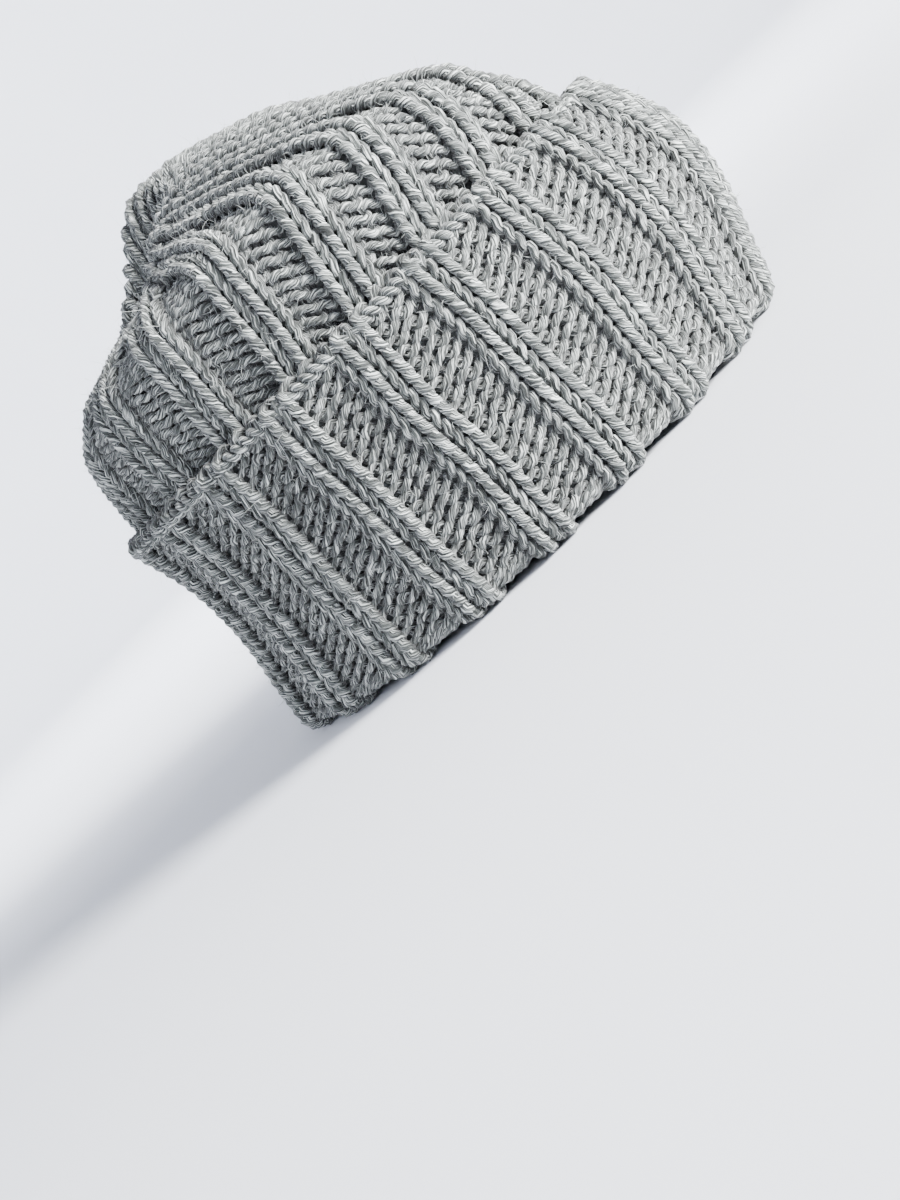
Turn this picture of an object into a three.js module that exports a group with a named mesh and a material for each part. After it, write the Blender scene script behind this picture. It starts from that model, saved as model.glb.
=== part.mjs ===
import * as THREE from "three";

// A cuffed beanie in chunky two-by-two rib, drawn in at the crown and standing on its folded rim.
// Millimetres, +Z up, the front towards -Y. The origin is at the middle of the base.
// Directions round the hat are measured from the front, by the -X side, to the back.

// The fabric
const RIBS = 20; // ribs round the hat, each of two knit stitches, with two purl stitches between
const WALL = 6; // one layer, from the top of a rib to the inside of a purl band
const OUTER_RELIEF = 2.2; // depth of a purl band beside the ribs, outside
const INNER_RELIEF = 1.8; // how far the purl bands stand out inside
const CLEARANCE = 0.4; // between the layers, and between the pieces

// One repeat of the rib: where each point lies in the repeat, and how much of a full rib it is
const REPEAT = [
  { at: -0.2, rib: 0.85 },
  { at: 0, rib: 1 },
  { at: 0.2, rib: 0.85 },
  { at: 0.36, rib: 0 },
  { at: 0.64, rib: 0 },
];

// The cuff, measured over the tops of its ribs, at the rim and at its upper edge
const RIM = { halfLength: 107, halfWidth: 86, middleY: 5.7 };
const EDGE = { halfLength: 105, halfWidth: 84, middleY: 7.2 };
const CUFF_HEIGHT = { front: 91, back: 82 };
const SWELL = { front: 13.5, side: 2, back: -6.3 }; // how far the cuff bows out between rim and edge
const SWELL_POWER = 1.3; // puts the fullest point a little above the middle
const CUFF_LEAN = 1.5; // degrees that the ribs lean towards the back, from rim to edge
const CUFF_RIB_AT = 7; // direction of the first rib of the cuff, in degrees
const CUFF_LEVELS = [0.3, 0.55, 0.8]; // shares of the height at which the wall has a ring of points

// The fold at the rim, and the flat that it rests on
const FOLD_RADIUS = WALL + CLEARANCE / 2;
const FLAT_HALF_WIDTH = 2.5;
const CORNER = FOLD_RADIUS * (1 - Math.SQRT1_2);

// The cast-on edge along the top of the cuff, one loop for each stitch
const LOOPS = 4 * RIBS;
const EDGE_RADIUS = { loop: 1.75, between: 1.3 };
const EDGE_INSET = 3.1;
const EDGE_SIDES = 5;
const EDGE_DROP = 2 * EDGE_RADIUS.loop + CLEARANCE; // the cuff's own wall ends this far below the edge

// The crown
const CROWN_RIB_AT = 0; // its ribs come between those of the cuff
const CROWN_LEAN = -3; // degrees by which its ribs come back towards the front as they rise
const LEAN_SHARE = 0.45; // of the way to the gather, over which they do
const NECK = 1; // how much it is drawn in under the edge of the cuff
const GATHER = { x: 0, y: 47.7, z: 123, radius: 6 };

// The crown's shape in eight directions, as [out, z] at five places along a rib. Out is measured from
// the wall at the cuff's edge at low, ridge and top, from half way to the gather at mid, and from the
// gather itself at brink, the edge of the hollow round it.
const CROWN_SHAPE = [
  { towards: 0, low: [-8, 102], ridge: [-26, 117], top: [-46, 131], mid: [0, 153], brink: [26, 163] },
  { towards: 45, low: [2, 106], ridge: [-4, 122], top: [-22, 132], mid: [0, 149], brink: [24, 156] },
  { towards: 90, low: [6, 109], ridge: [6, 127], top: [-6, 134], mid: [0, 144], brink: [18, 149] },
  { towards: 135, low: [4, 105], ridge: [4, 121], top: [-7, 127], mid: [0, 132], brink: [15, 135] },
  { towards: 180, low: [0, 92], ridge: [-2, 108], top: [-13, 121], mid: [0, 129], brink: [14, 130] },
  { towards: 225, low: [-3, 97], ridge: [-6, 113], top: [-19, 127], mid: [0, 139], brink: [17, 145] },
  { towards: 270, low: [4, 109], ridge: [0, 134], top: [-15, 149], mid: [0, 166], brink: [22, 164] },
  { towards: 315, low: [0, 107], ridge: [-12, 128], top: [-32, 143], mid: [0, 159], brink: [26, 167] },
];
// How much further out, and how much lower, the inside of the fabric lies at each of those places
const INSIDE = { low: [0, 0], ridge: [0, 3], top: [0, 5], mid: [0, 6], brink: [8, 14], gather: [0, 5] };
// Shares of the way from the cuff's edge to the gather at which the crown has a ring of points
const OUTER_SHARES = [0, 0.08, 0.16, 0.24, 0.31, 0.38, 0.45, 0.53, 0.62, 0.7, 0.77, 0.84, 0.9, 0.95, 1];
const INNER_SHARES = [1, 0.9, 0.8, 0.68, 0.56, 0.46, 0.36, 0.26, 0.14, 0];
const NARROW_RELIEF = 0.35; // near the gather a rib stands out by this share of a repeat at most

// The drawn-in stitches that close the crown
const CLOSURE = { radius: 5.5, flute: 0.6, below: 4, rim: 1, dome: 2.4, points: 40 };

const radians = THREE.MathUtils.degToRad;
const TURN = 2 * Math.PI;

// Height of the rib, 0 to 1, and direction of each point round a ring of fabric.
function ringPoints(firstRib) {
  const points = [];
  for (let rib = 0; rib < RIBS; rib++) {
    for (const { at, rib: height } of REPEAT) {
      points.push({ direction: radians(firstRib) + (TURN * (rib + at)) / RIBS, height });
    }
  }
  return points;
}

// Equal steps of direction come out as nearly equal steps along the oval.
function ovalAngle(direction, length, width) {
  const flatness = (length ** 2 - width ** 2) / (length ** 2 + width ** 2);
  return direction + 0.25 * flatness * Math.sin(2 * direction);
}

// A point on the cuff, a share of the way up from the rim and some way in from the tops of its ribs.
function cuffPoint(direction, share, inset, drop = 0) {
  const ahead = Math.cos(direction);
  const end = ahead > 0 ? SWELL.front : SWELL.back;
  const swell = THREE.MathUtils.lerp(SWELL.side, end, ahead ** 2) * Math.sin(Math.PI * share ** SWELL_POWER);
  const length = THREE.MathUtils.lerp(RIM.halfLength, EDGE.halfLength, share) + swell - inset;
  const width = THREE.MathUtils.lerp(RIM.halfWidth, EDGE.halfWidth, share) + swell - inset;
  const middle = THREE.MathUtils.lerp(RIM.middleY, EDGE.middleY, share);
  const leaning = direction + radians(CUFF_LEAN) * share * Math.sin(direction);
  const angle = ovalAngle(leaning, length, width);
  const height = THREE.MathUtils.lerp(CUFF_HEIGHT.back, CUFF_HEIGHT.front, (1 + Math.cos(angle)) / 2);
  return new THREE.Vector3(
    -width * Math.sin(angle),
    middle - length * Math.cos(angle),
    height * share - drop,
  );
}

// The same at a height in millimetres, near the rim.
function foldPoint(direction, z, inset) {
  const point = cuffPoint(direction, 0, inset);
  point.z = z;
  return point;
}

// A place in the crown's table in any direction, by a smooth curve through its eight rows.
function shapeTowards(direction, place) {
  const rows = CROWN_SHAPE.length;
  const along = THREE.MathUtils.euclideanModulo(direction / radians(CROWN_SHAPE[1].towards), rows);
  const row = Math.floor(along) % rows;
  const t = along - Math.floor(along);
  const near = [-1, 0, 1, 2].map((step) => CROWN_SHAPE[(row + step + rows) % rows][place]);
  return [0, 1].map((axis) => {
    const [a, b, c, d] = near.map((pair) => pair[axis]);
    const slope = (c - a) * t;
    const bend = (2 * a - 5 * b + 4 * c - d) * t ** 2;
    const twist = (-a + 3 * b - 3 * c + d) * t ** 3;
    return (2 * b + slope + bend + twist) / 2;
  });
}

// A smooth open curve that starts and ends at the ends of a row of places, and hugs the rest.
function splinePoint(places, share) {
  const path = [places[0]];
  for (let i = 1; i < places.length; i++) {
    path.push(places[i - 1].clone().lerp(places[i], 0.5), places[i]);
  }
  const first = path[0];
  const last = path[path.length - 1];
  const held = [first, first, ...path, last, last];
  const pieces = held.length - 3;
  const along = Math.min(share, 1) * pieces;
  const piece = Math.min(Math.floor(along), pieces - 1);
  const t = along - piece;
  const weights = [
    (1 - t) ** 3 / 6,
    (3 * t ** 3 - 6 * t ** 2 + 4) / 6,
    (-3 * t ** 3 + 3 * t ** 2 + 3 * t + 1) / 6,
    t ** 3 / 6,
  ];
  const point = new THREE.Vector2();
  weights.forEach((weight, i) => point.addScaledVector(held[piece + i], weight));
  return point;
}

// A point on the crown above the cuff, on the outside or the inside of the fabric.
// Its rib runs up the wall, turns, and goes straight to the gather as seen from above.
function domePoint(direction, share, inside) {
  const lean = radians(CROWN_LEAN) * Math.min(share / LEAN_SHARE, 1) * Math.sin(direction);
  const inset = crownInset(1) + (inside ? WALL : 0);
  const wall = cuffPoint(direction + lean, 1, inset, EDGE_DROP);
  const reach = Math.hypot(wall.x - GATHER.x, wall.y - GATHER.y);
  const moved = (name, [out, z]) => {
    const [further, lower] = inside ? INSIDE[name] : [0, 0];
    return new THREE.Vector2(out + further, z - lower);
  };
  const placed = (name, from) => {
    const [out, z] = shapeTowards(direction, name);
    return moved(name, [from + out, z]);
  };
  const places = [
    new THREE.Vector2(reach, wall.z),
    placed("low", reach),
    placed("ridge", reach),
    placed("top", reach),
    placed("mid", reach / 2),
    placed("brink", 0),
    moved("gather", [GATHER.radius, GATHER.z]),
  ];
  const place = splinePoint(places, share);
  const x = GATHER.x + ((wall.x - GATHER.x) * place.x) / reach;
  const y = GATHER.y + ((wall.y - GATHER.y) * place.x) / reach;
  return new THREE.Vector3(x, y, place.y);
}

// The crown's outward direction at a point, from short steps along and across its ribs.
function domeNormal(direction, share, inside) {
  const step = 0.01;
  const below = domePoint(direction, Math.max(share - step, 0), inside);
  const above = domePoint(direction, Math.min(share + step, 1), inside);
  const before = domePoint(direction - step, share, inside);
  const after = domePoint(direction + step, share, inside);
  return after.sub(before).cross(above.sub(below)).normalize().negate();
}

// The crown's own inset inside the cuff, a share of the way up.
function crownInset(share) {
  return WALL + CLEARANCE + NECK * share;
}

// Relief fades where the ribs crowd together, and stops at the gather's edge.
function reliefNearGather(point, relief, share) {
  if (share === 1) {
    return 0;
  }
  const repeat = (TURN * Math.hypot(point.x - GATHER.x, point.y - GATHER.y)) / RIBS;
  return Math.min(relief, NARROW_RELIEF * repeat);
}

// One ring of points on the crown above the cuff.
function domeRing(share, inside) {
  return ringPoints(CROWN_RIB_AT).map(({ direction, height }) => {
    const point = domePoint(direction, share, inside);
    const normal = domeNormal(direction, share, inside);
    const relief = inside
      ? height * reliefNearGather(point, INNER_RELIEF, share)
      : (height - 1) * reliefNearGather(point, OUTER_RELIEF, share);
    return point.addScaledVector(normal, relief);
  });
}

// A closed body from rings of points. Each ring goes round the hat, the rings follow one another
// down the outside and up the inside, and the last joins the first.
function bodyOfRings(rings) {
  const around = rings[0].length;
  const positions = rings.flat().flatMap((point) => [point.x, point.y, point.z]);
  const index = [];
  rings.forEach((ring, i) => {
    const next = (i + 1) % rings.length;
    for (let j = 0; j < around; j++) {
      const k = (j + 1) % around;
      const corners = [i * around + j, i * around + k, next * around + j, next * around + k];
      index.push(corners[0], corners[1], corners[2], corners[1], corners[3], corners[2]);
    }
  });
  const geometry = new THREE.BufferGeometry();
  geometry.setAttribute("position", new THREE.Float32BufferAttribute(positions, 3));
  geometry.setIndex(index);
  geometry.computeVertexNormals();
  return geometry;
}

function piece(name, geometry, color) {
  const material = new THREE.MeshStandardMaterial({ color, roughness: 0.95, metalness: 0 });
  const mesh = new THREE.Mesh(geometry, material);
  mesh.name = name;
  return mesh;
}

// The turned-up cuff, with the fold that carries the hat and the ledge inside it.
function cuff() {
  const points = ringPoints(CUFF_RIB_AT);
  const outside = (height) => OUTER_RELIEF * (1 - height);
  const inside = (height) => WALL - INNER_RELIEF * height;
  const ring = (place) => points.map(({ direction, height }) => place(direction, height));
  const outerRings = CUFF_LEVELS.map((share) => ring((d, h) => cuffPoint(d, share, outside(h))));
  const innerRings = CUFF_LEVELS.map((share) => ring((d, h) => cuffPoint(d, share, inside(h))));
  return bodyOfRings([
    ring((d, h) => cuffPoint(d, 1, inside(h), EDGE_DROP)),
    ring((d, h) => cuffPoint(d, 1, outside(h), EDGE_DROP)),
    ...outerRings.reverse(),
    ring((d, h) => foldPoint(d, FOLD_RADIUS, outside(h))),
    ring((d, h) => foldPoint(d, CORNER, CORNER + outside(h) / 2)),
    ring((d) => foldPoint(d, 0, FOLD_RADIUS - FLAT_HALF_WIDTH)),
    ring((d) => foldPoint(d, 0, FOLD_RADIUS + FLAT_HALF_WIDTH)),
    ring((d) => foldPoint(d, CORNER, 2 * FOLD_RADIUS - CORNER)),
    ring((d) => foldPoint(d, FOLD_RADIUS, 2 * FOLD_RADIUS)),
    ring((d, h) => foldPoint(d, FOLD_RADIUS, inside(h))),
    ...innerRings,
  ]);
}

// The body of the hat, from the ledge inside the cuff to the gather, hollow and open below.
function crown() {
  const points = ringPoints(CROWN_RIB_AT);
  const bottom = FOLD_RADIUS + CLEARANCE;
  const outside = (share, height) => crownInset(share) + OUTER_RELIEF * (1 - height);
  const inside = (share, height) => crownInset(share) + WALL - INNER_RELIEF * height;
  const wallRing = (share, inset) => points.map(({ direction, height }) => (
    cuffPoint(direction, share, inset(share, height))
  ));
  const lowRing = (inset) => points.map(({ direction, height }) => (
    foldPoint(direction, bottom, inset(0, height))
  ));
  return bodyOfRings([
    lowRing(outside),
    lowRing(inside),
    ...CUFF_LEVELS.map((share) => wallRing(share, inside)),
    ...[...INNER_SHARES].reverse().map((share) => domeRing(share, true)),
    ...[...OUTER_SHARES].reverse().map((share) => domeRing(share, false)),
    ...[...CUFF_LEVELS].reverse().map((share) => wallRing(share, outside)),
  ]);
}

// The cast-on edge: a row of small loops along the top of the cuff.
function castOnEdge() {
  const steps = 2 * LOOPS;
  const rings = [];
  for (let side = 0; side < EDGE_SIDES; side++) {
    const angle = -(TURN * side) / EDGE_SIDES - Math.PI / 2;
    const ring = [];
    for (let step = 0; step < steps; step++) {
      const radius = step % 2 ? EDGE_RADIUS.between : EDGE_RADIUS.loop;
      const inset = EDGE_INSET - radius * Math.cos(angle);
      const drop = EDGE_RADIUS.loop - radius * Math.sin(angle);
      ring.push(cuffPoint((TURN * step) / steps, 1, inset, drop));
    }
    rings.push(ring);
  }
  return bodyOfRings(rings);
}

// The stitches drawn together in the middle of the gather, as a small fluted button.
function crownGather() {
  const { radius, flute, below, rim, dome, points } = CLOSURE;
  const profile = [
    { out: 0, z: GATHER.z - below },
    { out: 1, z: GATHER.z - below },
    { out: 1, z: GATHER.z + rim },
    { out: 0.6, z: GATHER.z + dome - 0.4 },
    { out: 0, z: GATHER.z + dome },
  ];
  const geometry = new THREE.LatheGeometry(
    profile.map(({ out, z }) => new THREE.Vector2(out * radius, z)),
    points,
  );
  geometry.rotateX(Math.PI / 2);
  const position = geometry.getAttribute("position");
  for (let i = 0; i < position.count; i++) {
    const angle = Math.atan2(position.getY(i), position.getX(i));
    const valley = (1 - Math.cos((points / 2) * angle)) / 2;
    const narrowing = 1 - (flute / radius) * valley;
    position.setXY(i, GATHER.x + position.getX(i) * narrowing, GATHER.y + position.getY(i) * narrowing);
  }
  geometry.deleteAttribute("uv");
  geometry.computeVertexNormals();
  return geometry;
}

const beanie = new THREE.Group();
beanie.add(piece("crown", crown(), 0xa3a8a6));
beanie.add(piece("cuff", cuff(), 0xa9aeac));
beanie.add(piece("cast_on_edge", castOnEdge(), 0xb2b7b5));
beanie.add(piece("crown_gather", crownGather(), 0x9a9f9d));

export default beanie;
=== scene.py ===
import math

import bpy
import numpy as np
from mathutils import Matrix


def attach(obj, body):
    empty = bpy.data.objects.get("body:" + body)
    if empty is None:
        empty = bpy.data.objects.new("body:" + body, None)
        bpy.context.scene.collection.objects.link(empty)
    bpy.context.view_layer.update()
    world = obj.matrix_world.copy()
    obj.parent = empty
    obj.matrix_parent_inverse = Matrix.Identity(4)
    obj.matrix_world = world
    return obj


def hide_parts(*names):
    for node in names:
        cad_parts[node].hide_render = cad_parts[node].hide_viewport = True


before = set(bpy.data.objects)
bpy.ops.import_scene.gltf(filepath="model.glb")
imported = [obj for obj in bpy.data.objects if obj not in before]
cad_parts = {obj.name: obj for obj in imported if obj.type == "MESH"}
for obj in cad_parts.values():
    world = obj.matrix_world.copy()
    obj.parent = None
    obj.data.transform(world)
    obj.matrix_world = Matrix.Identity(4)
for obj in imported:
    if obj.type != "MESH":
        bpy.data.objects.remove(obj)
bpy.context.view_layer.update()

# A cuffed beanie in chunky two-by-two rib, knitted stitch by stitch from one plied yarn.
# Sizes are in millimetres until a mesh is made. +Z is up, the front is towards -Y, and directions
# round the hat are measured from the front, by the -X side, to the back.
MM = 0.001
TURN = 2 * math.pi

# The fabric, as in the solids that it covers
RIBS = 20
WALL = 6.0
CLEARANCE = 0.4
RIM = {"length": 107.0, "width": 86.0, "middle": 5.7}
EDGE = {"length": 105.0, "width": 84.0, "middle": 7.2}
CUFF_HEIGHT = {"front": 91.0, "back": 82.0}
SWELL = {"front": 13.5, "side": 2.0, "back": -6.3}
SWELL_POWER = 1.3
CUFF_LEAN = math.radians(1.5)
CUFF_RIB_AT = math.radians(7.0)
FOLD_RADIUS = WALL + CLEARANCE / 2
EDGE_DROP = 3.9
CROWN_RIB_AT = 0.0
CROWN_LEAN = math.radians(-3.0)
LEAN_SHARE = 0.45
NECK = 1.0
GATHER = {"x": 0.0, "y": 47.7, "z": 123.0, "radius": 6.0}

# The crown's shape in eight directions, as (out, z) at five places along a rib. Out is measured from
# the wall at the cuff's edge at low, ridge and top, from half way to the gather at mid, and from the
# gather itself at brink.
PLACES = ("low", "ridge", "top", "mid", "brink")
CROWN_SHAPE = np.array([
    [(-8, 102), (-26, 117), (-46, 131), (0, 153), (26, 163)],
    [(2, 106), (-4, 122), (-22, 132), (0, 149), (24, 156)],
    [(6, 109), (6, 127), (-6, 134), (0, 144), (18, 149)],
    [(4, 105), (4, 121), (-7, 127), (0, 132), (15, 135)],
    [(0, 92), (-2, 108), (-13, 121), (0, 129), (14, 130)],
    [(-3, 97), (-6, 113), (-19, 127), (0, 139), (17, 145)],
    [(4, 109), (0, 134), (-15, 149), (0, 166), (22, 164)],
    [(0, 107), (-12, 128), (-32, 143), (0, 159), (26, 167)],
], dtype=float)

# The knitting
PER_REPEAT = 4  # stitches in a repeat of the rib, two knit and two purl
CUFF_ROWS = 24  # from the cast-on edge down and round the fold
INSIDE_ROWS = 19  # on up the wall inside the cuff
CROWN_ROWS = 36
TUCK = 0.88  # share of the cuff's height at which the crown's rows start, inside the cuff
SAMPLES = 14  # points along the yarn of a stitch
SIDES = 6  # of the yarn
HIDDEN_SAMPLES = 8  # the same for the rows inside the cuff
HIDDEN_SIDES = 4
LOOP_HALF = 0.78  # half the height of a loop, in rows
LOOP_WAIST = {"knit": 0.185, "purl": 0.23}  # how far its legs close at the foot, in stitches
LOOP_SKEW = 0.09  # stitches that it leans over half its height, which sets its left leg upright
LOOP_DEPTH = 1.25  # how far the yarn goes to and fro through the fabric
BUMP_SLANT = {"cuff": 0.21, "crown": -0.24}  # rows that each end of a purl bump is off the level
PURL_SHIFT = 0.10  # stitches that a purl bump lies nearer to the leaves than to the rope beside it
OVERLAP = 0.8  # how far the foot of a knit stitch's leg stands out over the leg below it
# The left leg of a knit stitch runs on into the next one as a rope, and the right leg lies aslant as
# a leaf. Twist is in turns of the plies for each millimetre.
ROPE = {"radius": 1.85, "flatness": 3.2, "proud": 0.35, "twist": 0.15}
LEAF = {"radius": 1.35, "flatness": 2.0, "proud": -0.25, "twist": 0.015}
BUMP = {"radius": 1.25, "flatness": 1.6, "twist": 0.085}
LEG_SHOWS = 0.6  # share of LOOP_DEPTH behind the middle at which a knit leg takes a bump's radius
RIB_WIDTH = 15.5  # two knit stitches side by side, where the ribs aren't crowded
MOST_RIB = 0.93  # of the repeat that a rib takes where they are
RIB_EDGE = 0.3  # stitches over which a rib falls off to the purl band
FACE_EDGE = 0.18  # stitches on each side of a rib's edge over which the weave turns from knit to purl
RIB_ROUND = 0.5
PURL_SINK = 1.9  # depth of a purl band below the ribs
CROWDED_SINK = 1.8  # how much deeper it is where the ribs crowd together
CROWDED = {"from": 26.0, "to": 17.0}  # width of a repeat
VALLEY = 0.9  # depth between the ribs where the purl bands have been decreased away
LOWEST = 0.15  # level at which the rim's yarn is pressed flat by what it rests on

# tight is a knit stitch's width as a share of half of RIB_WIDTH, within these limits.
TIGHT = {"least": 0.2, "most": 1.35}
THIN_FABRIC = 0.4  # power of tight by which the fabric gets thinner
THIN_YARN = 0.6  # power of tight by which the yarn gets thinner
SLIM_LEAF = 0.25  # share of a leaf's radius that goes with tight besides
SUNK_LEAF = 1.6  # how much deeper a leaf lies as tight goes to nought

# Spreads of what varies from loop to loop: its height as a share, its place sideways in stitches and
# upwards in rows, and its depth.
UNEVEN = {"height": 0.04, "side": 0.018, "level": 0.05, "depth": 0.10}
# Slow waves in the line of a rib, as shares of a repeat, with radians for each row and each rib
WANDER = ({"size": 0.012, "row": 0.55, "rib": 2.1}, {"size": 0.010, "row": 0.23, "rib": 5.3})
# A slow wave in the yarn's radius, as a share of it, with radians for each stitch and each row
THICK_AND_THIN = {"size": 0.05, "stitch": 1.7, "row": 0.9}
BAND_SHADE = 0.25  # share of the fabric's own depth that counts in the painted shade of its yarn, darker in the sunk purl bands

# The felted middle of the fabric, a dark sheet: painted shade that shows in the holes between the
# stitches
HOLE_SHADE_COLUMNS = 8  # points across a repeat
HOLE_SHADE_SINK = 0.5  # below the middle of the yarn

# The cast-on edge, two strands that wind round a line below and inside the edge
CAST_ON = {"radius": 1.25, "inset": 3.0, "drop": 1.9, "across": 1.25, "up": 1.15, "samples": 12}

# The strands of the gather, which arch over its brink and spiral down into it. Every second one is
# turned on by a share of their spacing, and lower.
STRANDS = 2 * RIBS
STRAND = {"steps": 12, "outer": 8.0, "inner": 0.6, "spiral": 0.9, "arch": 1.4, "fall": 3.2}
STRAND_RADIUS = {"outer": 0.95, "inner": 0.55}
SECOND_STRAND = {"turned": 0.3, "lower": 0.5}

# Loose fibres, each a needle of three sides with a bend in its middle
FIBRE_COUNT = {"cuff": 5500, "crown": 8500}
FIBRE_TRIES = 4  # points drawn for each fibre, as many of them lie on the yarn's inner side
FIBRE_OUTSIDE = 0.2  # least cosine between the yarn's outward direction and the fabric's
FIBRE_LOWEST = 7.0  # level above which they stand, clear of what the rim rests on
FIBRE_SUNK = 0.1  # depth of the root in the yarn
FIBRE_RADIUS = {"root": 0.055, "middle": 0.04}
FIBRE_WAY = {"fabric": 0.5, "spread": 1.1, "bend": 0.7}  # beside 1 for straight out of the yarn
FIBRE_LENGTH = {"shape": 3.0, "scale": 0.95, "to_middle": 0.55, "to_tip": 0.4}

# Points along each line of a surface, before they are spread evenly
LINE_POINTS = {"wall": 160, "fold": 60, "inside": 120, "tuck": 24, "dome": 400}

CENTIMETRE = 10.0
YARN_START = 7.0  # centimetres within which each ring of yarn starts, so that no two look the same
LEAST = 1e-9  # in place of a length of nought, which nothing can be divided by
STITCH_SEED = 1000
SEED_STEP = 7
rng = np.random.default_rng(20)


def mix(low, high, share):
    return low + (high - low) * share


def unit(vectors):
    return vectors / np.maximum(np.linalg.norm(vectors, axis=-1, keepdims=True), LEAST)


# The surface: the tops of the ribs

def oval_angle(direction, length, width):
    """Makes equal steps of direction come out as nearly equal steps along the oval."""
    flatness = (length**2 - width**2) / (length**2 + width**2)
    return direction + 0.25 * flatness * np.sin(2 * direction)


def cuff_point(direction, share, inset, drop=0.0):
    """A point a share of the way up the cuff, in from the tops of its ribs by inset."""
    ahead = np.cos(direction)
    end = np.where(ahead > 0, SWELL["front"], SWELL["back"])
    swell = mix(SWELL["side"], end, ahead**2) * np.sin(math.pi * share**SWELL_POWER)
    length = mix(RIM["length"], EDGE["length"], share) + swell - inset
    width = mix(RIM["width"], EDGE["width"], share) + swell - inset
    middle = mix(RIM["middle"], EDGE["middle"], share)
    angle = oval_angle(direction + CUFF_LEAN * share * np.sin(direction), length, width)
    height = mix(CUFF_HEIGHT["back"], CUFF_HEIGHT["front"], (1 + np.cos(angle)) / 2)
    return np.stack([-width * np.sin(angle), middle - length * np.cos(angle), height * share - drop], -1)


def crown_inset(share):
    return WALL + CLEARANCE + NECK * share


def shape_towards(direction, place):
    """CROWN_SHAPE at one place, smoothly between its eight directions."""
    rows = len(CROWN_SHAPE)
    along = np.mod(direction / TURN, 1) * rows
    row = np.floor(along).astype(int) % rows
    t = (along - np.floor(along))[:, None]
    a, b, c, d = (CROWN_SHAPE[(row + step) % rows, PLACES.index(place)] for step in (-1, 0, 1, 2))
    bend = (2 * a - 5 * b + 4 * c - d) * t**2 + (-a + 3 * b - 3 * c + d) * t**3
    return (2 * b + (c - a) * t + bend) / 2


def spline_points(places, shares):
    """A smooth open curve through the ends of rows of places, near the rest: (rows, shares, 2)."""
    path = [places[0]]
    for before, after in zip(places, places[1:]):
        path += [(before + after) / 2, after]
    held = np.stack([path[0]] * 2 + path + [path[-1]] * 2, 1)
    pieces = held.shape[1] - 3
    along = np.minimum(shares, 1) * pieces
    piece = np.minimum(along.astype(int), pieces - 1)
    t = (along - piece)[None, :, None]
    weights = (
        (1 - t) ** 3 / 6,
        (3 * t**3 - 6 * t**2 + 4) / 6,
        (-3 * t**3 + 3 * t**2 + 3 * t + 1) / 6,
        t**3 / 6,
    )
    return sum(weight * held[:, piece + i] for i, weight in enumerate(weights))


def dome_lines(directions, shares):
    """Points on the crown above the cuff: (directions, shares, 3)."""
    start = cuff_point(directions, 1.0, crown_inset(1), EDGE_DROP)
    reach = np.hypot(start[:, 0] - GATHER["x"], start[:, 1] - GATHER["y"])
    origins = {"low": reach, "ridge": reach, "top": reach, "mid": reach / 2, "brink": 0 * reach}
    places = [np.stack([reach, start[:, 2]], -1)]
    for place in PLACES:
        places.append(shape_towards(directions, place) + np.stack([origins[place], 0 * reach], -1))
    places.append(np.tile([GATHER["radius"], GATHER["z"]], (len(directions), 1)))
    place = spline_points(places, shares)
    lean = CROWN_LEAN * np.minimum(shares / LEAN_SHARE, 1)[None, :] * np.sin(directions)[:, None]
    wall = cuff_point(directions[:, None] + lean, 1.0, crown_inset(1), EDGE_DROP)
    wall_reach = np.hypot(wall[..., 0] - GATHER["x"], wall[..., 1] - GATHER["y"])
    x = GATHER["x"] + (wall[..., 0] - GATHER["x"]) * place[..., 0] / wall_reach
    y = GATHER["y"] + (wall[..., 1] - GATHER["y"]) * place[..., 0] / wall_reach
    return np.stack([x, y, place[..., 1]], -1)


class Sheet:
    """A tube of fabric. direction goes round it and run, 0 to 1, along the knitting by real length.

    turn is 1 where the stitches' right-hand side is towards growing directions, and -1 elsewhere.
    """

    DIRECTIONS = 720
    RUNS = 300

    def __init__(self, lines, turn):
        steps = np.linalg.norm(np.diff(lines, axis=1), axis=2)
        length = np.concatenate([np.zeros((len(lines), 1)), np.cumsum(steps, axis=1)], 1)
        runs = np.linspace(0, 1, self.RUNS)
        even = np.empty((len(lines), self.RUNS, 3))
        for i, line in enumerate(lines):
            for axis in range(3):
                even[i, :, axis] = np.interp(runs * length[i, -1], length[i], line[:, axis])
        around = (np.roll(even, -1, 0) - np.roll(even, 1, 0)) / 2
        along = np.gradient(even, axis=1)
        normal = unit(turn * np.cross(around, along))
        pitch = np.linalg.norm(around, axis=2, keepdims=True) * self.DIRECTIONS / RIBS
        self.turn = turn
        self.grid = np.concatenate([even, normal, pitch], 2)

    def at(self, direction, run):
        """Point, outward normal and width of one repeat of the rib at each direction and run."""
        i = np.mod(direction / TURN, 1) * self.DIRECTIONS
        j = np.clip(run, 0, 1) * (self.RUNS - 1)
        i0 = np.floor(i).astype(int) % self.DIRECTIONS
        j0 = np.minimum(np.floor(j).astype(int), self.RUNS - 2)
        s = (i - np.floor(i))[..., None]
        t = (j - j0)[..., None]
        i1 = (i0 + 1) % self.DIRECTIONS
        low = mix(self.grid[i0, j0], self.grid[i1, j0], s)
        high = mix(self.grid[i0, j0 + 1], self.grid[i1, j0 + 1], s)
        found = mix(low, high, t)
        beyond = (run - np.clip(run, 0, 1))[..., None]
        slope = (self.grid[i0, j0 + 1, :3] - self.grid[i0, j0, :3]) * (self.RUNS - 1)
        return found[..., :3] + beyond * slope, unit(found[..., 3:6]), found[..., 6]


DIRECTIONS = np.arange(Sheet.DIRECTIONS) * TURN / Sheet.DIRECTIONS


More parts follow.
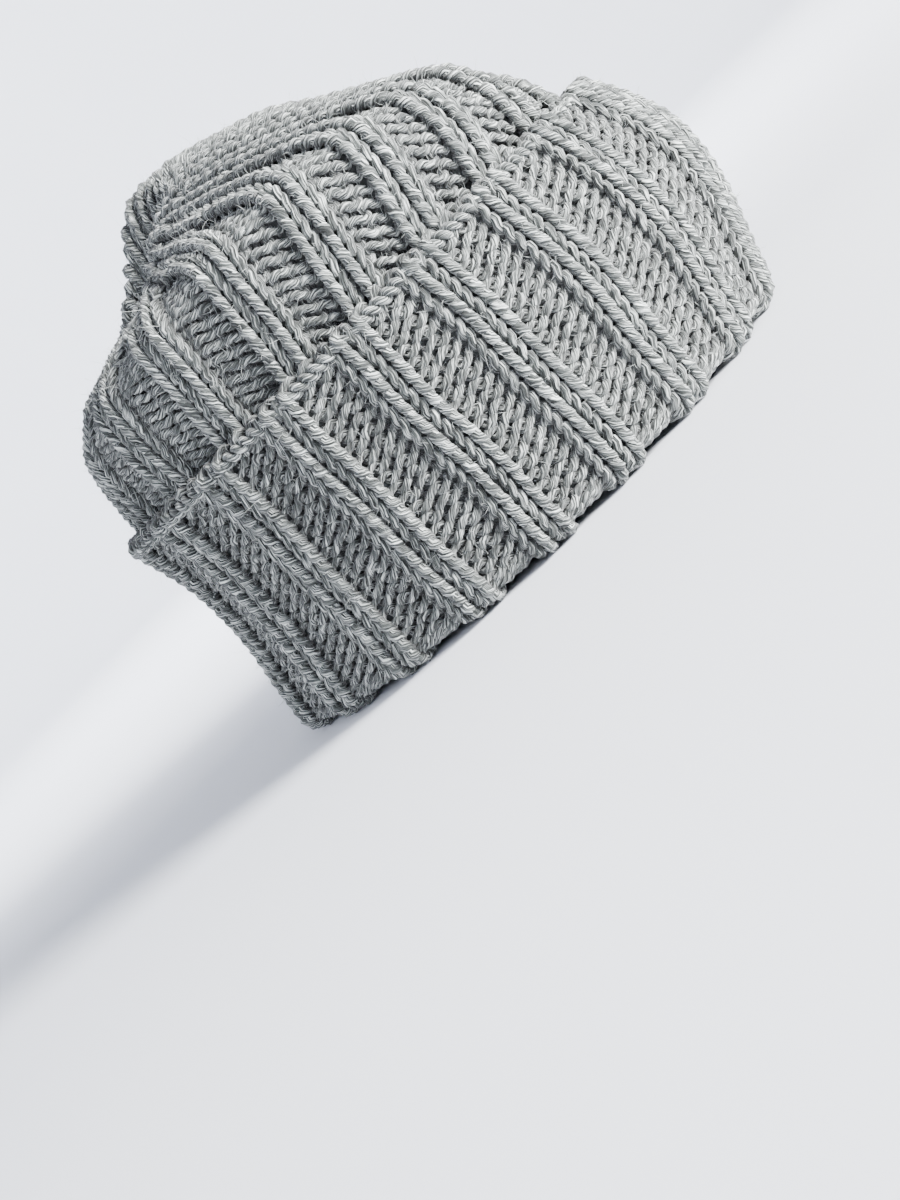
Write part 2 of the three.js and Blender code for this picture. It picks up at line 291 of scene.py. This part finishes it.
def cuff_sheet():
    """The cuff's outer face, down from its edge and round under the rim to the inside."""
    column = DIRECTIONS[:, None]
    lowest = FOLD_RADIUS / CUFF_HEIGHT["back"]
    wall = cuff_point(column, np.linspace(1, lowest, LINE_POINTS["wall"])[None, :], 0.0)
    turned = np.linspace(0, math.pi, LINE_POINTS["fold"])[None, :]
    share = lowest * np.clip(1 - 2 * turned / math.pi, 0, 1)
    fold = cuff_point(column, share, FOLD_RADIUS * (1 - np.cos(turned)))
    fold[..., 2] = FOLD_RADIUS * (1 - np.sin(turned))
    wall[..., 2] = np.maximum(wall[..., 2], FOLD_RADIUS)
    return Sheet(np.concatenate([wall[:, :-1], fold], 1), 1)


def inside_sheet():
    """The inner face of the wall, up from the fold to where the crown's own rows take over."""
    shares = np.linspace(FOLD_RADIUS / CUFF_HEIGHT["back"], TUCK, LINE_POINTS["inside"])[None, :]
    return Sheet(cuff_point(DIRECTIONS[:, None], shares, crown_inset(shares) + WALL), 1)


def crown_sheet():
    """The crown's outer face, up from inside the cuff and over to the gather."""
    shares = np.linspace(TUCK, 1, LINE_POINTS["tuck"])[None, :]
    tucked = cuff_point(DIRECTIONS[:, None], shares, crown_inset(shares), EDGE_DROP * shares)
    dome = dome_lines(DIRECTIONS, np.linspace(0, 1, LINE_POINTS["dome"]))
    return Sheet(np.concatenate([tucked[:, :-1], dome], 1), -1)


# The stitches

def rib_place(column, pitch, per_repeat):
    """Where a stitch column lies in its repeat, -0.5 to 0.5, and the width of a knit stitch.

    Four stitches a repeat are two knit ones, from -1 to 1, and two purl ones. Fewer are all knit.
    """
    if per_repeat < PER_REPEAT:
        return column / per_repeat, pitch / per_repeat
    share = np.clip(RIB_WIDTH / pitch, 0, MOST_RIB)
    size = np.abs(column)
    place = np.where(size < 1, size * share / 2, share / 2 + (size - 1) * (1 - share) / 2)
    return np.sign(column) * place, share * pitch / 2


def fabric_middle(column, pitch, per_repeat):
    """Depth of the middle of the fabric below the surface: a rounded rib and a sunk purl band."""
    top = -(ROPE["radius"] + LOOP_DEPTH)
    if per_repeat < PER_REPEAT:
        return top - VALLEY * (2 * column / per_repeat) ** 2
    rib = np.clip((1 - np.abs(column)) / RIB_EDGE + 0.5, 0, 1)
    crowding = np.clip((CROWDED["from"] - pitch) / (CROWDED["from"] - CROWDED["to"]), 0, 1)
    return top - mix(PURL_SINK + CROWDED_SINK * crowding, RIB_ROUND * column**2, rib)


def knit(sheet, rows, first_rib, first_row, last_row, samples, per_repeat):
    """The yarn, one closed ring a row: its centre line, outward normals, radii, twists and shades.

    A twist is in turns a millimetre. A shade is how far the centre line lies from the fabric's face,
    negative where it is deeper, and it sets the painted shade in the yarn's colour. t goes from 0 to a
    full turn over each stitch, from foot to foot.
    """
    stitches = per_repeat * RIBS
    row = np.arange(first_row, last_row)[:, None, None]
    stitch = np.arange(stitches)[None, :, None]
    t = (np.arange(samples) / samples * TURN)[None, None, :]
    loose = np.random.default_rng(STITCH_SEED + first_row + SEED_STEP * rows + RIBS * sheet.turn)
    shape = (last_row - first_row, stitches, 1)

    def uneven(what):
        return loose.normal(0, UNEVEN[what], shape)

    # Each loop in stitches across the fabric and rows up it
    middling = np.sin(t / 2) ** 2
    is_knit = (stitch % PER_REPEAT < 2) | (per_repeat < PER_REPEAT)
    bump_slant = BUMP_SLANT["cuff" if sheet.turn > 0 else "crown"]
    slant = np.where(is_knit, 0, bump_slant) * np.sin(2 * t)
    waist = np.where(is_knit, LOOP_WAIST["knit"], LOOP_WAIST["purl"])
    rise = slant - LOOP_HALF * np.cos(t) * (1 + uneven("height"))
    side = t / TURN + waist * np.sin(2 * t) - LOOP_SKEW * np.cos(t)
    side = side + (uneven("side") - np.where(is_knit, 0, PURL_SHIFT)) * middling
    across = stitch - min(per_repeat, 2) / 2 + side
    height = row + 0.5 + rise + uneven("level") * middling

    # Its place on the surface
    repeat = np.floor((across + per_repeat / 2) / per_repeat)
    column = across - per_repeat * repeat
    wander = sum(wave["size"] * np.sin(row * wave["row"] + repeat * wave["rib"]) for wave in WANDER)
    run = height / rows
    guess = first_rib + sheet.turn * TURN * (repeat + column / per_repeat) / RIBS
    pitch = sheet.at(guess, np.clip(run, 0, 1) + 0 * guess)[2]
    place, stitch_width = rib_place(column, pitch, per_repeat)
    direction = first_rib + sheet.turn * TURN * (repeat + place + wander) / RIBS
    point, normal, _ = sheet.at(direction, run + 0 * direction)

    # Its way through the fabric. face is 1 in a rib and -1 in a purl band. ropeness is 1 in the left leg
    # of a knit stitch and 0 in the right one. leg is 1 where the yarn is in front and -1 behind.
    tight = np.clip(stitch_width / (RIB_WIDTH / 2), TIGHT["least"], TIGHT["most"])
    if per_repeat == PER_REPEAT:
        face = np.clip((1 - np.abs(column)) / FACE_EDGE, -1, 1)
    else:
        face = 1 + 0 * column
    ropeness = (1 + np.sin(t)) / 2
    flatness = np.where(is_knit, mix(LEAF["flatness"], ROPE["flatness"], ropeness), BUMP["flatness"])
    leg = 1 - 2 * np.abs(np.cos(t)) ** flatness
    shown = np.clip(face * (LEG_SHOWS + leg), 0, 1)
    proud = mix(LEAF["proud"] - SUNK_LEAF * (1 - tight), ROPE["proud"], ropeness)
    proud = proud + OVERLAP * np.cos(t) * np.abs(np.sin(t))
    middle = fabric_middle(column, pitch, per_repeat)
    weave = face * LOOP_DEPTH * leg + np.clip(face, 0, 1) * proud + uneven("depth") * middling
    depth = (middle + weave) * np.minimum(tight, 1) ** THIN_FABRIC

    # The yarn itself
    leaf_radius = LEAF["radius"] * (1 - SLIM_LEAF + SLIM_LEAF * tight)
    leg_radius = mix(leaf_radius, ROPE["radius"], ropeness)
    radius = mix(BUMP["radius"], leg_radius, shown) * tight**THIN_YARN
    thickening = np.sin(t / 2 + stitch * THICK_AND_THIN["stitch"] + row * THICK_AND_THIN["row"])
    radius = radius * (1 + THICK_AND_THIN["size"] * thickening)
    twist = mix(BUMP["twist"], mix(LEAF["twist"], ROPE["twist"], ropeness), shown)
    # Painted shade: the yarn's colour is darkened by how deep it lies, and more in the sunk purl bands
    shade = weave - LOOP_DEPTH - radius + BAND_SHADE * (middle + ROPE["radius"] + LOOP_DEPTH)
    centres = point + normal * depth[..., None]
    rings = (last_row - first_row, stitches * samples)
    vectors = [values.reshape(rings + (3,)) for values in (centres, normal)]
    return vectors + [values.reshape(rings) for values in (radius, twist, shade)]


# Meshes

def add_mesh(name, points, faces, material, nodes, uv=None, shades=None):
    """A smooth mesh from arrays: points in millimetres, faces (n, corners), uv (one pair a corner),
    and shades (each point's depth in the fabric, kept for the painted shade in the yarn's colour).
    """
    corners = faces.shape[1]
    mesh = bpy.data.meshes.new(name)
    mesh.vertices.add(len(points))
    mesh.vertices.foreach_set("co", (points * MM).astype(np.float32).ravel())
    mesh.loops.add(faces.size)
    mesh.loops.foreach_set("vertex_index", faces.astype(np.int32).ravel())
    mesh.polygons.add(len(faces))
    mesh.polygons.foreach_set("loop_start", np.arange(0, faces.size, corners, dtype=np.int32))
    mesh.polygons.foreach_set("loop_total", np.full(len(faces), corners, dtype=np.int32))
    mesh.polygons.foreach_set("use_smooth", np.ones(len(faces), dtype=bool))
    if uv is not None:
        layer = mesh.uv_layers.new(name="yarn")
        layer.data.foreach_set("uv", uv.astype(np.float32).ravel())
    # Each point's depth, which the yarn material turns into painted shade
    if shades is not None:
        painted_shade_depths = mesh.attributes.new("painted_shade_depth", "FLOAT", "POINT")
        painted_shade_depths.data.foreach_set("value", shades.astype(np.float32).ravel())
    mesh.update(calc_edges=True)
    mesh.validate()
    mesh.materials.append(material)
    piece = bpy.data.objects.new(name, mesh)
    bpy.context.collection.objects.link(piece)
    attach(piece, "root")
    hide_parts(*nodes)


def tubes(centres, normals, radii, twists, shades, sides, closed=True):
    """Round yarns along rows of points: vertices, four-cornered faces, uv, outward directions, painted
    shade depths.

    u is the length of yarn in centimetres, and v is the turns round it, wound up by the twist.
    """
    rows, steps = radii.shape
    if closed:
        tangent = np.roll(centres, -1, 1) - np.roll(centres, 1, 1)
    else:
        tangent = np.gradient(centres, axis=1)
    across = unit(np.cross(normals, tangent))
    lift = unit(np.cross(tangent, across))
    angle = (np.arange(sides) / sides - 0.25) * TURN
    ring = np.cos(angle)[:, None] * across[:, :, None] + np.sin(angle)[:, None] * lift[:, :, None]
    points = centres[:, :, None] + radii[:, :, None, None] * ring
    spans = steps if closed else steps - 1
    row, step, side = np.meshgrid(np.arange(rows), np.arange(spans), np.arange(sides), indexing="ij")
    after = (step + 1) % steps
    beside = (side + 1) % sides
    corners = []
    for at_step, at_side in ((step, side), (step, beside), (after, beside), (after, side)):
        corners.append((row * steps + at_step) * sides + at_side)
    faces = np.stack(corners, -1)
    gap = np.linalg.norm(np.roll(centres, -1, 1) - centres, axis=2)
    nought = np.zeros((rows, 1))
    length = np.concatenate([nought, np.cumsum(gap, 1)], 1) / CENTIMETRE
    length = length + rng.random((rows, 1)) * YARN_START
    wound = np.concatenate([nought, np.cumsum(gap * twists, 1)], 1) + rng.random((rows, 1))
    u0 = length[row, step]
    u1 = length[row, step + 1]
    v00 = side / sides + wound[row, step]
    v01 = v00 + 1 / sides
    v10 = side / sides + wound[row, step + 1]
    v11 = v10 + 1 / sides
    uv = np.stack([u0, v00, u0, v01, u1, v11, u1, v10], -1)
    # Painted shade: each point's depth below the fabric's face, which darkens the yarn's inner side
    painted_shade_depths = shades[:, :, None] + radii[:, :, None] * np.einsum("rsci,rsi->rsc", ring, normals)
    mesh = (points.reshape(-1, 3), faces.reshape(-1, 4), uv.reshape(-1, 2))
    return *mesh, ring.reshape(-1, 3), painted_shade_depths.ravel()


def knit_piece(name, sheet, rows, first_rib, span, material, node,
               samples=SAMPLES, sides=SIDES, per_repeat=PER_REPEAT):
    """Rows of stitches as one mesh. Returns the yarn's skin, for the loose fibres that stand on it."""
    yarn = knit(sheet, rows, first_rib, *span, samples, per_repeat)
    points, faces, uv, outward, painted_shade_depths = tubes(*yarn, sides)
    points[:, 2] = np.maximum(points[:, 2], LOWEST)
    add_mesh(name, points, faces, material, [node], uv, painted_shade_depths)
    return points, outward, np.repeat(yarn[1].reshape(-1, 3), sides, 0)


def hole_shade_piece(name, sheet, rows, first_rib, material, node):
    """A dark sheet in the middle of the fabric: painted shade that shows in the small holes between the
    stitches.
    """
    across = np.linspace(-PER_REPEAT / 2, PER_REPEAT / 2, HOLE_SHADE_COLUMNS, endpoint=False)
    columns = np.tile(across, RIBS)
    repeat = np.repeat(np.arange(RIBS), HOLE_SHADE_COLUMNS)
    run = np.linspace(0, 1, rows + 1)[None, :]
    guess = first_rib + sheet.turn * TURN * (repeat + columns / PER_REPEAT) / RIBS
    pitch = sheet.at(guess[:, None], run + 0 * guess[:, None])[2]
    place, width = rib_place(columns[:, None], pitch, PER_REPEAT)
    direction = first_rib + sheet.turn * TURN * (repeat[:, None] + place) / RIBS
    point, normal, _ = sheet.at(direction, run + 0 * direction)
    tight = np.clip(width / (RIB_WIDTH / 2), TIGHT["least"], 1)
    depth = (fabric_middle(columns[:, None], pitch, PER_REPEAT) - HOLE_SHADE_SINK) * tight**THIN_FABRIC
    points = (point + normal * depth[..., None]).reshape(-1, 3)
    around, along = np.meshgrid(np.arange(len(columns)), np.arange(rows), indexing="ij")
    beside = (around + 1) % len(columns)
    corners = []
    for column, row in ((around, along), (beside, along), (beside, along + 1), (around, along + 1)):
        corners.append(column * (rows + 1) + row)
    faces = np.stack(corners if sheet.turn > 0 else corners[::-1], -1).reshape(-1, 4)
    add_mesh(name, points, faces, material, [node])


def cast_on_edge(sheet, material):
    """Two strands wound round each other along the free edge of the cuff, a turn for each stitch."""
    stitches = PER_REPEAT * RIBS
    step = np.arange(stitches * CAST_ON["samples"]) / CAST_ON["samples"]
    direction = CUFF_RIB_AT + TURN * step / stitches
    centres = []
    normals = []
    for phase in (0.0, math.pi):
        point, normal, _ = sheet.at(direction, 0 * direction)
        angle = TURN * step + phase
        inset = CAST_ON["inset"] - CAST_ON["across"] * np.cos(angle)
        drop = CAST_ON["drop"] - CAST_ON["up"] * np.sin(angle)
        centre = point - normal * inset[:, None]
        centre[:, 2] -= drop
        centres.append(centre)
        normals.append(normal)
    radii = np.full((2, len(step)), CAST_ON["radius"])
    twists = np.full(radii.shape, BUMP["twist"])
    # Painted shade: the strands are darkened from their tops downwards
    yarn = (np.array(centres), np.array(normals), radii, twists, -radii)
    points, faces, uv, _, painted_shade_depths = tubes(*yarn, SIDES)
    add_mesh("cast_on_loops", points, faces, material, ["cast_on_edge"], uv, painted_shade_depths)


def gathered_loops(material):
    """The last stitches, drawn together: two strands over the brink of the gather for each rib."""
    along = np.linspace(0, 1, STRAND["steps"])
    centres = []
    for strand in range(STRANDS):
        second = strand % 2
        angle = TURN * (strand + SECOND_STRAND["turned"] * second) / STRANDS
        radius = mix(STRAND["outer"], STRAND["inner"], along)
        level = GATHER["z"] + STRAND["arch"] * np.sin(math.pi * along) - STRAND["fall"] * along**2
        spiral = angle + STRAND["spiral"] * along
        x = GATHER["x"] + radius * np.sin(spiral)
        y = GATHER["y"] - radius * np.cos(spiral)
        centres.append(np.stack([x, y, level - SECOND_STRAND["lower"] * second], -1))
    normals = np.tile([0.0, 0.0, 1.0], (STRANDS, len(along), 1))
    radii = np.tile(mix(STRAND_RADIUS["outer"], STRAND_RADIUS["inner"], along), (STRANDS, 1))
    twists = np.full(radii.shape, BUMP["twist"])
    # Painted shade: the strands are darkened from their tops downwards
    yarn = (np.array(centres), normals, radii, twists, -radii)
    points, faces, uv, _, painted_shade_depths = tubes(*yarn, SIDES, closed=False)
    add_mesh("gathered_loops", points, faces, material, ["crown_gather"], uv, painted_shade_depths)


def fibres(name, skins, count, material, node):
    """Loose fibres as fine bent needles that stand on the yarn's outer side."""
    points = np.concatenate([skin[0] for skin in skins])
    outward = np.concatenate([skin[1] for skin in skins])
    normals = np.concatenate([skin[2] for skin in skins])
    chosen = rng.integers(0, len(points), FIBRE_TRIES * count)
    outside = np.einsum("ij,ij->i", outward[chosen], normals[chosen]) > FIBRE_OUTSIDE
    chosen = chosen[outside & (points[chosen, 2] > FIBRE_LOWEST)][:count]
    root = points[chosen] - FIBRE_SUNK * outward[chosen]
    lean = rng.normal(0, 1, (len(chosen), 3))
    way = outward[chosen] + FIBRE_WAY["fabric"] * normals[chosen] + FIBRE_WAY["spread"] * lean
    way = unit(way)
    bend = rng.normal(0, 1, (len(chosen), 3))
    length = rng.gamma(FIBRE_LENGTH["shape"], FIBRE_LENGTH["scale"], len(chosen))[:, None]
    middle = root + way * length * FIBRE_LENGTH["to_middle"]
    tip = middle + (way + FIBRE_WAY["bend"] * bend) * length * FIBRE_LENGTH["to_tip"]
    side = unit(np.cross(way, bend))
    third = np.cross(way, side)
    rings = []
    for centre, radius in ((root, FIBRE_RADIUS["root"]), (middle, FIBRE_RADIUS["middle"])):
        for angle in (0, TURN / 3, 2 * TURN / 3):
            rings.append(centre + radius * (math.cos(angle) * side + math.sin(angle) * third))
    corners = np.stack(rings + [tip], 1)
    pattern = [(0, 2, 1), (3, 4, 6), (4, 5, 6), (5, 3, 6)]
    for a, b in ((0, 1), (1, 2), (2, 0)):
        pattern += [(a, b, b + 3), (a, b + 3, a + 3)]
    faces = np.arange(len(chosen))[:, None, None] * corners.shape[1] + np.array(pattern)[None]
    add_mesh(name, corners.reshape(-1, 3), faces.reshape(-1, 3), material, [node])


# Materials

# The yarn's tone is made of streaks of fibre, patches of dye and its plies, with painted shade in the
# valleys between them. Along the yarn a number is for a centimetre, and round it for a turn.
PLIES = 6
STREAKS = {"around": 19, "along": 1.6, "detail": 3.0, "roughness": 0.62}
PATCHES = {"around": 2.5, "scale": 1.3, "detail": 2.0}
TONE = {"streaks": 3.2, "patches": 0.5, "plies": 0.16, "level": -1.45}
YARN_STOPS = (0.12, 0.56, 1.0)  # tones of the deep, the middle and the light grey
YARN_GREYS = ((0.010, 0.012, 0.011), (0.085, 0.094, 0.089), (0.86, 0.90, 0.86))
YARN_FINISH = {
    "Roughness": 0.88,
    "Specular IOR Level": 0.22,
    "Sheen Weight": 0.25,
    "Sheen Roughness": 0.55,
}
YARN_RELIEF = {"plies": 0.45, "strength": 0.9, "distance": 0.0007}
SHADE_DEPTH = 4.5  # depth at which the painted shade makes the yarn darkest
SHADE_STOPS = ((0.0, 0.04), (0.45, 0.24), (0.90, 1.0))  # share of the way up from there, and the brightness of the painted shade

FELT_FINISH = {"Roughness": 0.95, "Specular IOR Level": 0.1}
FELT_RELIEF = {"strength": 0.6, "distance": 0.0008}
FELT_STOPS = (0.35, 0.65)
FINER = 5  # times that felt's second noise is finer than its first
# Painted shade: the sheet behind the holes between the stitches is near black
HOLE_SHADE_GREYS = ((0.03, 0.033, 0.032), (0.09, 0.095, 0.093))
FLUFF_GREYS = ((0.45, 0.475, 0.46), (0.66, 0.69, 0.675))

STAGE_FINISH = {"Roughness": 0.9, "Specular IOR Level": 0.1}
STAGE_STOPS = (0.3, 0.7)
STAGE_GREYS = ((0.87, 0.89, 0.95), (0.90, 0.92, 0.97))


def new_material(name, finish):
    """A material, its node tree and its shader. The finish is values by the shader's own sockets."""
    material = bpy.data.materials.new(name)
    material.use_nodes = True
    shader = material.node_tree.nodes["Principled BSDF"]
    for socket, value in finish.items():
        shader.inputs[socket].default_value = value
    return material, material.node_tree, shader


def feed(tree, node, values):
    """Sets a node's first inputs. Each value is a number or another node's output."""
    for socket, value in zip(node.inputs, values):
        if isinstance(value, (int, float)):
            socket.default_value = value
        else:
            tree.links.new(value, socket)


def calculate(tree, operation, first, second=0.0, third=0.0):
    node = tree.nodes.new("ShaderNodeMath")
    node.operation = operation
    feed(tree, node, (first, second, third))
    return node.outputs[0]


def vector_of(tree, x, y):
    node = tree.nodes.new("ShaderNodeCombineXYZ")
    feed(tree, node, (x, y))
    return node.outputs[0]


def noise(tree, vector, scale, detail, roughness=0.55):
    node = tree.nodes.new("ShaderNodeTexNoise")
    node.inputs["Scale"].default_value = scale
    node.inputs["Detail"].default_value = detail
    node.inputs["Roughness"].default_value = roughness
    tree.links.new(vector, node.inputs["Vector"])
    return node.outputs["Fac"]


def ramp(tree, value, stops, colours):
    node = tree.nodes.new("ShaderNodeValToRGB")
    elements = node.color_ramp.elements
    while len(elements) < len(stops):
        elements.new(0.5)
    for element, position, colour in zip(elements, stops, colours):
        element.position = position
        element.color = (*colour, 1.0)
    tree.links.new(value, node.inputs["Fac"])
    return node.outputs["Color"]


def bump(tree, height, strength, distance, shader):
    node = tree.nodes.new("ShaderNodeBump")
    node.inputs["Strength"].default_value = strength
    node.inputs["Distance"].default_value = distance
    tree.links.new(height, node.inputs["Height"])
    tree.links.new(node.outputs["Normal"], shader.inputs["Normal"])


def yarn_material(name):
    """Plied wool: rounded plies wound round the yarn, streaks of fibre along them, and uneven dye. The
    valleys between the plies have painted shade.

    Its colour is darkened with depth in the fabric: painted shade where the fluff between the stitches
    takes the light.
    """
    material, tree, shader = new_material(name, YARN_FINISH)
    uv = tree.nodes.new("ShaderNodeUVMap")
    uv.uv_map = "yarn"
    split = tree.nodes.new("ShaderNodeSeparateXYZ")
    tree.links.new(uv.outputs["UV"], split.inputs[0])
    along, around = split.outputs[0], split.outputs[1]
    ply = calculate(tree, "SINE", calculate(tree, "MULTIPLY", around, PLIES * math.pi))
    ply = calculate(tree, "ABSOLUTE", ply)
    streak_around = calculate(tree, "MULTIPLY", around, STREAKS["around"])
    streak_along = calculate(tree, "MULTIPLY", along, STREAKS["along"])
    streak_place = vector_of(tree, streak_around, streak_along)
    fine = noise(tree, streak_place, 1.0, STREAKS["detail"], STREAKS["roughness"])
    patch_place = vector_of(tree, along, calculate(tree, "MULTIPLY", around, PATCHES["around"]))
    patch = noise(tree, patch_place, PATCHES["scale"], PATCHES["detail"])
    tone = calculate(tree, "MULTIPLY_ADD", patch, TONE["patches"], TONE["level"])
    tone = calculate(tree, "MULTIPLY_ADD", fine, TONE["streaks"], tone)
    # Painted shade: the valleys between the plies are darker in colour, besides being sunk by the bump
    tone = calculate(tree, "MULTIPLY_ADD", ply, TONE["plies"], tone)
    colour = ramp(tree, tone, YARN_STOPS, YARN_GREYS)
    # Painted shade: the colour is multiplied darker the deeper the point lies in the fabric
    depth = tree.nodes.new("ShaderNodeAttribute")
    depth.attribute_name = "painted_shade_depth"
    level = calculate(tree, "MULTIPLY_ADD", depth.outputs["Fac"], 1 / SHADE_DEPTH, 1.0)
    stops, brightness = zip(*SHADE_STOPS)
    shadow = ramp(tree, level, stops, [(value,) * 3 for value in brightness])
    shaded = tree.nodes.new("ShaderNodeMix")
    shaded.data_type = "RGBA"
    shaded.blend_type = "MULTIPLY"
    shaded.inputs["Factor"].default_value = 1.0
    tree.links.new(colour, shaded.inputs["A"])
    tree.links.new(shadow, shaded.inputs["B"])
    tree.links.new(shaded.outputs["Result"], shader.inputs["Base Color"])
    height = calculate(tree, "MULTIPLY", ply, YARN_RELIEF["plies"])
    height = calculate(tree, "MULTIPLY_ADD", fine, 1.0, height)
    bump(tree, height, YARN_RELIEF["strength"], YARN_RELIEF["distance"], shader)
    return material


def felt_material(name, greys, scale):
    """Matted fibres: two sizes of noise in the object's own space."""
    material, tree, shader = new_material(name, FELT_FINISH)
    place = tree.nodes.new("ShaderNodeTexCoord").outputs["Object"]
    coarse = noise(tree, place, scale, detail=3.0)
    fine = noise(tree, place, scale * FINER, detail=2.0)
    tone = calculate(tree, "MULTIPLY_ADD", fine, 0.5, calculate(tree, "MULTIPLY", coarse, 0.5))
    tree.links.new(ramp(tree, tone, FELT_STOPS, greys), shader.inputs["Base Color"])
    bump(tree, tone, FELT_RELIEF["strength"], FELT_RELIEF["distance"], shader)
    return material


def stage_material():
    material, tree, shader = new_material("pale_stage", STAGE_FINISH)
    place = tree.nodes.new("ShaderNodeTexCoord").outputs["Object"]
    tone = noise(tree, place, scale=3.0, detail=4.0)
    tree.links.new(ramp(tree, tone, STAGE_STOPS, STAGE_GREYS), shader.inputs["Base Color"])
    return material


# Stage, light and camera. Unlike the hat, lamps and camera are placed in metres.

def stage():
    """A round pale floor that curves up all round into a wall, with no edge in sight."""
    floor, bend, height = 1500.0, 900.0, 2600.0
    bend_steps, around = 16, 96
    turned = np.linspace(0, math.pi / 2, bend_steps + 1)
    radii = np.concatenate([[floor], floor + bend * np.sin(turned[1:]), [floor + bend]])
    levels = np.concatenate([[0.0], bend * (1 - np.cos(turned[1:])), [height]])
    angle = np.arange(around) * TURN / around
    rings = []
    for radius, level in zip(radii, levels):
        rings.append(np.stack([radius * np.cos(angle), radius * np.sin(angle), 0 * angle + level], -1))
    points = np.concatenate([np.zeros((1, 3))] + rings)
    faces = []
    for k in range(around):
        n = (k + 1) % around
        faces.append((0, 1 + k, 1 + n))
        for ring in range(len(rings) - 1):
            low = 1 + ring * around
            high = low + around
            faces.append((low + k, high + k, high + n, low + n))
    mesh = bpy.data.meshes.new("pale_floor")
    mesh.from_pydata((points * MM).tolist(), [], faces)
    mesh.polygons.foreach_set("use_smooth", np.ones(len(faces), dtype=bool))
    mesh.materials.append(stage_material())
    floor_object = bpy.data.objects.new("pale_floor", mesh)
    bpy.context.collection.objects.link(floor_object)


def area_light(name, place, target, size, power, colour):
    light = bpy.data.lights.new(name, "AREA")
    light.shape = "DISK"
    light.size = size
    light.energy = power
    light.color = colour
    lamp = bpy.data.objects.new(name, light)
    away = Matrix.Translation(place).translation - Matrix.Translation(target).translation
    lamp.matrix_world = Matrix.Translation(place) @ away.to_track_quat("Z", "Y").to_matrix().to_4x4()
    bpy.context.collection.objects.link(lamp)


def lights():
    """A key lamp from the front, one that lights the wall behind the hat, and a soft pale room."""
    area_light("key", place=(-0.75, -1.14, 0.50), target=(0.0, 0.0, 0.08), size=0.6, power=140.0,
               colour=(1.0, 1.0, 0.99))
    area_light("wall", place=(0.6, 0.0, 0.9), target=(1.8, 0.0, 0.2), size=1.0, power=46.0,
               colour=(0.95, 0.97, 1.0))
    world = bpy.data.worlds.new("soft_room")
    world.use_nodes = True
    background = world.node_tree.nodes["Background"]
    background.inputs["Color"].default_value = (0.95, 0.96, 1.0, 1.0)
    background.inputs["Strength"].default_value = 0.20
    bpy.context.scene.world = world


def camera():
    """Beside the hat, turned on its own axis as in the photo, and just above the floor."""
    place = (-0.5305, 0.05955, 0.0859)
    forward = unit(np.array([0.986, -0.021, -0.163]))
    right = np.array([-0.129, -0.714, -0.689])
    right = unit(right - forward * (right @ forward))
    up = np.cross(right, forward)
    turned = Matrix((right, up, -forward)).transposed().to_4x4()
    lens = bpy.data.cameras.new("camera")
    lens.sensor_fit = "VERTICAL"
    lens.sensor_height = 36.0
    lens.lens = 48.66
    lens.clip_start = 0.01
    eye = bpy.data.objects.new("camera", lens)
    eye.matrix_world = Matrix.Translation(place) @ turned
    bpy.context.collection.objects.link(eye)
    bpy.context.scene.camera = eye


# The hat

# Pieces of rows that show: name, first row, the row after the last, and stitches in a repeat. Towards
# the gather the crown's purl stitches are decreased away, and then half of its knit ones.
CUFF_PIECES = (
    ("cuff_rows_upper", 0, 12, PER_REPEAT),
    ("cuff_rows_lower", 12, CUFF_ROWS, PER_REPEAT),
)
CROWN_PIECES = (
    ("crown_rows_lower", 0, 11, PER_REPEAT),
    ("crown_rows_middle", 11, 20, PER_REPEAT),
    ("crown_rows_upper", 20, 26, 2),
    ("crown_rows_last", 26, CROWN_ROWS, 1),
)


def build_hat():
    cuff = cuff_sheet()
    inside = inside_sheet()
    crown = crown_sheet()
    crown_yarn = yarn_material("crown_yarn")
    cuff_yarn = yarn_material("cuff_yarn")
    hole_shade = felt_material("hole_shade_felt", HOLE_SHADE_GREYS, scale=900.0)
    fluff = felt_material("loose_fibres", FLUFF_GREYS, scale=300.0)
    cuff_skins = []
    for name, first, last, per_repeat in CUFF_PIECES:
        cuff_skins.append(knit_piece(name, cuff, CUFF_ROWS, CUFF_RIB_AT, (first, last), cuff_yarn,
                                     "cuff", per_repeat=per_repeat))
    knit_piece("crown_rows_inside", inside, INSIDE_ROWS, CUFF_RIB_AT, (0, INSIDE_ROWS), crown_yarn,
               "crown", samples=HIDDEN_SAMPLES, sides=HIDDEN_SIDES)
    crown_skins = []
    for name, first, last, per_repeat in CROWN_PIECES:
        crown_skins.append(knit_piece(name, crown, CROWN_ROWS, CROWN_RIB_AT, (first, last), crown_yarn,
                                      "crown", per_repeat=per_repeat))
    # Dark sheets of painted shade behind the holes between the stitches
    hole_shade_piece("cuff_hole_shade", cuff, CUFF_ROWS, CUFF_RIB_AT, hole_shade, "cuff")
    hole_shade_piece("crown_hole_shade", crown, CROWN_ROWS, CROWN_RIB_AT, hole_shade, "crown")
    hole_shade_piece("inside_hole_shade", inside, INSIDE_ROWS, CUFF_RIB_AT, hole_shade, "crown")
    cast_on_edge(cuff, cuff_yarn)
    gathered_loops(crown_yarn)
    fibres("cuff_fibres", cuff_skins, FIBRE_COUNT["cuff"], fluff, "cuff")
    fibres("crown_fibres", crown_skins, FIBRE_COUNT["crown"], fluff, "crown")


camera()
build_hat()
stage()
lights()
